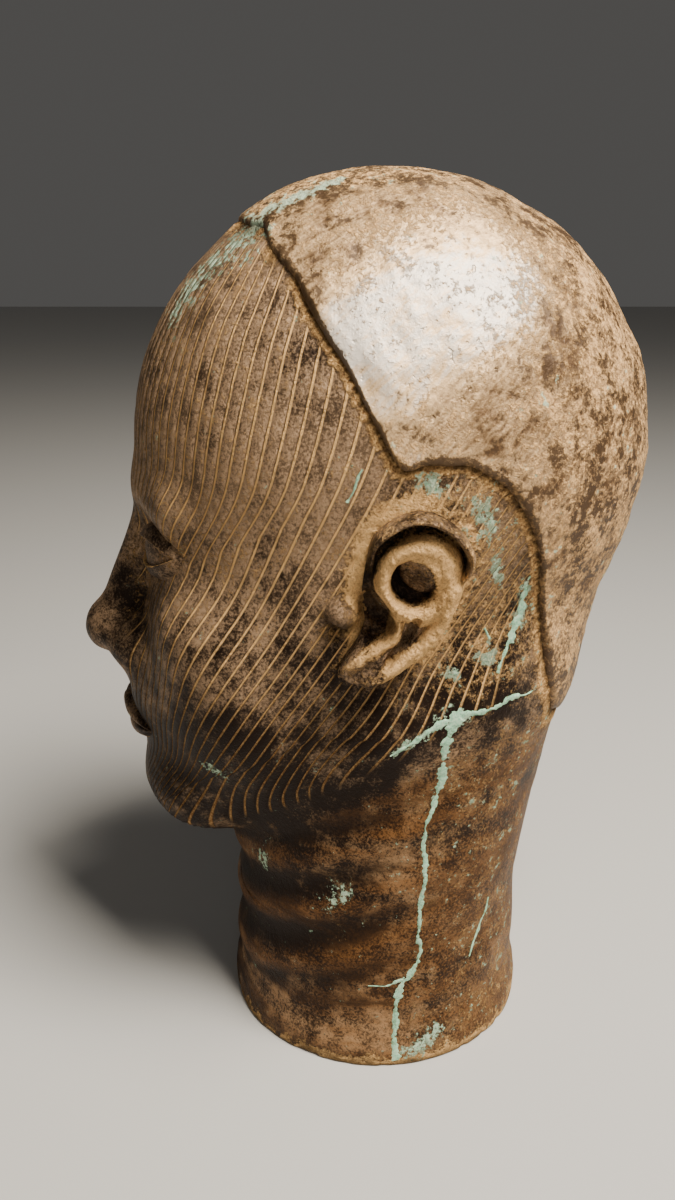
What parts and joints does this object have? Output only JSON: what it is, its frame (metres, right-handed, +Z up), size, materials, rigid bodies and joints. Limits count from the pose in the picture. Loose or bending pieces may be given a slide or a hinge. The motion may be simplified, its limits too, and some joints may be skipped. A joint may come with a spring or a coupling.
{
  "type": "bronze head",
  "caption": "Hollow cast bronze head with a close cap of hair, finely grooved face, ears and an open ringed neck that it stands on.",
  "frame": {"origin": "middle of the overall box, on the plane the neck's rim stands on", "axes": "+Z up through the crown, -Y the way the face looks, +X towards the head's own left ear"},
  "size_m": [0.1608, 0.2002, 0.311],
  "materials": {
    "bronze": "dark patinated bronze with ochre earth in the grooves, worn paler on the hair, with green streaks"
  },
  "bodies": {
    "root": {"head_casting": "bronze"}
  },
  "joints": []
}
